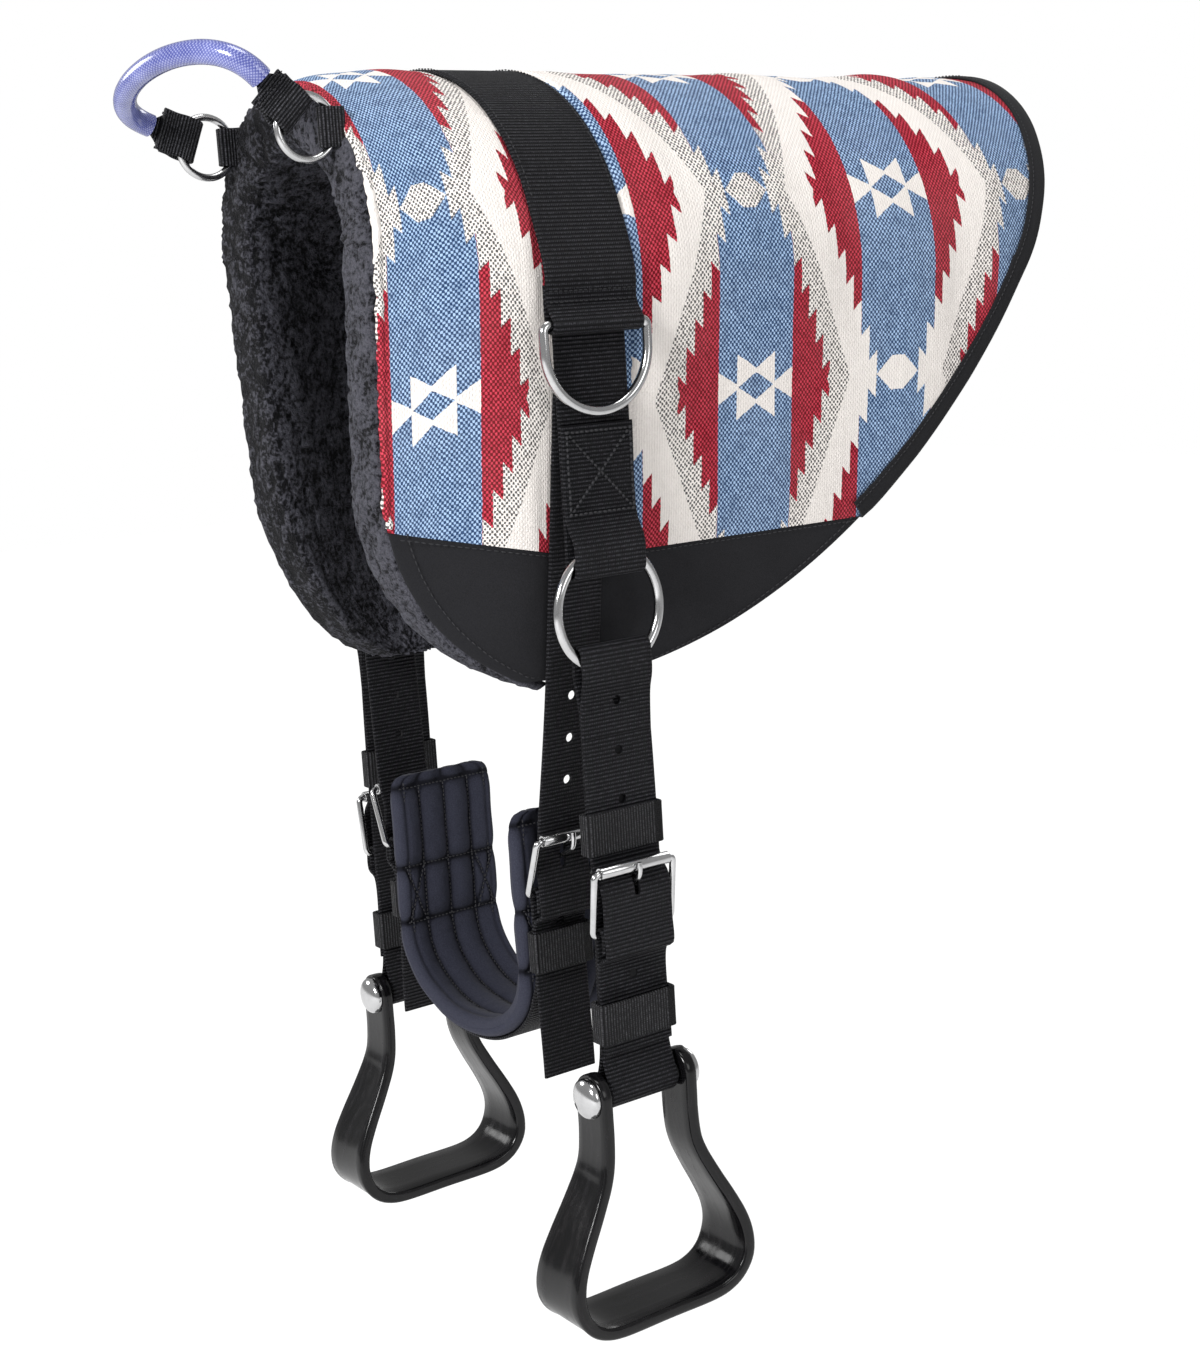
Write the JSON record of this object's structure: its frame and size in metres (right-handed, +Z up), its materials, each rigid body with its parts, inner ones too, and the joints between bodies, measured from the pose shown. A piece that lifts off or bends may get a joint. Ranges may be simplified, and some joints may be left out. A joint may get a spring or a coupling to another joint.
{
  "type": "bareback pad",
  "caption": "Bareback saddle pad with woven cover and fleece lining, surcingle strap, dees, front grab handle, buckled girth and adjustable hanging stirrups",
  "frame": {"origin": "the horse_back mount: the middle of the pad's fleece underside, on the crest, where the surcingle strap crosses it", "axes": "+Z up, -Y towards the horse's head, +X towards the horse's left (near) side"},
  "size_m": [0.307, 0.6314, 0.7694],
  "materials": {
    "cover": "thick hand-woven look saddle-blanket cloth in blue, dark red, cream and grey",
    "felt": "dense pressed felt",
    "fleece": "deep curly charcoal fleece",
    "leather": "black brushed suede wear leather",
    "binding": "black folded binding tape",
    "webbing": "black ribbed nylon webbing",
    "steel": "nickel-plated steel wire, bright",
    "plastic": "moulded black plastic, satin to glossy",
    "sleeve": "plain black sleeve",
    "girth": "quilted dark navy girth cloth with rolled edges",
    "tube": "clear blue-violet vinyl tube"
  },
  "bodies": {
    "pad": {"woven_cover": "cover", "felt_core": "felt", "fleece_lining": "fleece", "rear_binding": "binding", "surcingle_strap": "webbing", "wear_leather_near": "leather", "wear_leather_far": "leather", "lower_strap_near": "webbing", "lower_strap_far": "webbing", "handle_tab_near": "webbing", "handle_tab_far": "webbing"},
    "handle": {"handle_webbing": "webbing", "handle_tube": "tube", "handle_ring_near": "steel", "handle_ring_far": "steel"},
    "girth": {"girth_pad": "girth", "girth_webbing": "webbing", "billet_near": "webbing", "billet_far": "webbing", "girth_buckle_near": "steel", "girth_buckle_far": "steel"},
    "upper_dee_near": {"upper_dee_near": "steel"},
    "o_ring_near": {"o_ring_near": "steel"},
    "stirrup_strap_near": {"stirrup_strap_near": "webbing", "stirrup_buckle_near": "steel"},
    "stirrup_near": {"stirrup_near": "plastic", "stirrup_bolt_near": "steel", "stirrup_nut_near": "steel", "stirrup_sleeve_near": "sleeve"},
    "stirrup_roller_near": {"stirrup_roller_near": "steel"},
    "stirrup_tongue_near": {"stirrup_tongue_near": "steel"},
    "upper_keeper_near": {"upper_keeper_near": "webbing"},
    "lower_keeper_near": {"lower_keeper_near": "webbing"},
    "girth_roller_near": {"girth_roller_near": "steel"},
    "girth_tongue_near": {"girth_tongue_near": "steel"},
    "girth_keeper_near": {"girth_keeper_near": "webbing"},
    "upper_dee_far": {"upper_dee_far": "steel"},
    "o_ring_far": {"o_ring_far": "steel"},
    "stirrup_strap_far": {"stirrup_strap_far": "webbing", "stirrup_buckle_far": "steel"},
    "stirrup_far": {"stirrup_far": "plastic", "stirrup_bolt_far": "steel", "stirrup_nut_far": "steel", "stirrup_sleeve_far": "sleeve"},
    "stirrup_roller_far": {"stirrup_roller_far": "steel"},
    "stirrup_tongue_far": {"stirrup_tongue_far": "steel"},
    "upper_keeper_far": {"upper_keeper_far": "webbing"},
    "lower_keeper_far": {"lower_keeper_far": "webbing"},
    "girth_roller_far": {"girth_roller_far": "steel"},
    "girth_tongue_far": {"girth_tongue_far": "steel"},
    "girth_keeper_far": {"girth_keeper_far": "webbing"}
  },
  "joints": [
    {"name": "handle_tip", "type": "hinge", "parent": "pad", "child": "handle", "pos_m": [0, -0.1368, 0.0046], "axis": [1, 0, 0], "range_deg": [-10, 70]},
    {"name": "girth_swing", "type": "hinge", "parent": "pad", "child": "girth", "pos_m": [0, -0.008, -0.138], "axis": [1, 0, 0], "range_deg": [-10, 10]},
    {"name": "upper_dee_lift_near", "type": "hinge", "parent": "pad", "child": "upper_dee_near", "pos_m": [0.1327, 0, -0.11], "axis": [0, -1, 0], "range_deg": [0, 95]},
    {"name": "o_ring_turn_near", "type": "hinge", "parent": "pad", "child": "o_ring_near", "pos_m": [0.13, 0, -0.275], "axis": [1, 0, 0], "continuous": true},
    {"name": "stirrup_strap_swing_near", "type": "hinge", "parent": "pad", "child": "stirrup_strap_near", "pos_m": [0.13, 0, -0.275], "axis": [1, 0, 0], "range_deg": [-25, 25]},
    {"name": "stirrup_tip_near", "type": "hinge", "parent": "stirrup_strap_near", "child": "stirrup_near", "pos_m": [0.13, 0, -0.568], "axis": [0, -1, 0], "range_deg": [-30, 50]},
    {"name": "stirrup_roller_spin_near", "type": "hinge", "parent": "stirrup_strap_near", "child": "stirrup_roller_near", "pos_m": [0.14006, 0, -0.4286], "axis": [0, 1, 0], "continuous": true},
    {"name": "stirrup_tongue_lift_near", "type": "hinge", "parent": "stirrup_strap_near", "child": "stirrup_tongue_near", "pos_m": [0.135, 0, -0.4676], "axis": [0, 1, 0], "range_deg": [0, 8]},
    {"name": "upper_keeper_slide_near", "type": "slide", "parent": "stirrup_strap_near", "child": "upper_keeper_near", "axis": [0, 0, 1], "range_m": [-0.002, 0.012]},
    {"name": "lower_keeper_slide_near", "type": "slide", "parent": "stirrup_strap_near", "child": "lower_keeper_near", "axis": [0, 0, 1], "range_m": [-0.006, 0.015]},
    {"name": "girth_roller_spin_near", "type": "hinge", "parent": "girth", "child": "girth_roller_near", "pos_m": [0.09896, -0.018, -0.414], "axis": [0, 1, 0], "continuous": true},
    {"name": "girth_tongue_lift_near", "type": "hinge", "parent": "girth", "child": "girth_tongue_near", "pos_m": [0.0855, -0.018, -0.45], "axis": [0, 1, 0], "range_deg": [0, 8]},
    {"name": "girth_keeper_slide_near", "type": "slide", "parent": "girth", "child": "girth_keeper_near", "axis": [0, 0, 1], "range_m": [-0.004, 0.005]},
    {"name": "upper_dee_lift_far", "type": "hinge", "parent": "pad", "child": "upper_dee_far", "pos_m": [-0.1327, 0, -0.11], "axis": [0, 1, 0], "range_deg": [0, 95]},
    {"name": "o_ring_turn_far", "type": "hinge", "parent": "pad", "child": "o_ring_far", "pos_m": [-0.13, 0, -0.275], "axis": [1, 0, 0], "continuous": true},
    {"name": "stirrup_strap_swing_far", "type": "hinge", "parent": "pad", "child": "stirrup_strap_far", "pos_m": [-0.13, 0, -0.275], "axis": [1, 0, 0], "range_deg": [-25, 25]},
    {"name": "stirrup_tip_far", "type": "hinge", "parent": "stirrup_strap_far", "child": "stirrup_far", "pos_m": [-0.13, 0, -0.568], "axis": [0, 1, 0], "range_deg": [-30, 50]},
    {"name": "stirrup_roller_spin_far", "type": "hinge", "parent": "stirrup_strap_far", "child": "stirrup_roller_far", "pos_m": [-0.14006, 0, -0.4286], "axis": [0, 1, 0], "continuous": true},
    {"name": "stirrup_tongue_lift_far", "type": "hinge", "parent": "stirrup_strap_far", "child": "stirrup_tongue_far", "pos_m": [-0.135, 0, -0.4676], "axis": [0, -1, 0], "range_deg": [0, 8]},
    {"name": "upper_keeper_slide_far", "type": "slide", "parent": "stirrup_strap_far", "child": "upper_keeper_far", "axis": [0, 0, 1], "range_m": [-0.002, 0.012]},
    {"name": "lower_keeper_slide_far", "type": "slide", "parent": "stirrup_strap_far", "child": "lower_keeper_far", "axis": [0, 0, 1], "range_m": [-0.006, 0.015]},
    {"name": "girth_roller_spin_far", "type": "hinge", "parent": "girth", "child": "girth_roller_far", "pos_m": [-0.09896, -0.018, -0.414], "axis": [0, 1, 0], "continuous": true},
    {"name": "girth_tongue_lift_far", "type": "hinge", "parent": "girth", "child": "girth_tongue_far", "pos_m": [-0.0855, -0.018, -0.45], "axis": [0, -1, 0], "range_deg": [0, 8]},
    {"name": "girth_keeper_slide_far", "type": "slide", "parent": "girth", "child": "girth_keeper_far", "axis": [0, 0, 1], "range_m": [-0.004, 0.005]}
  ]
}
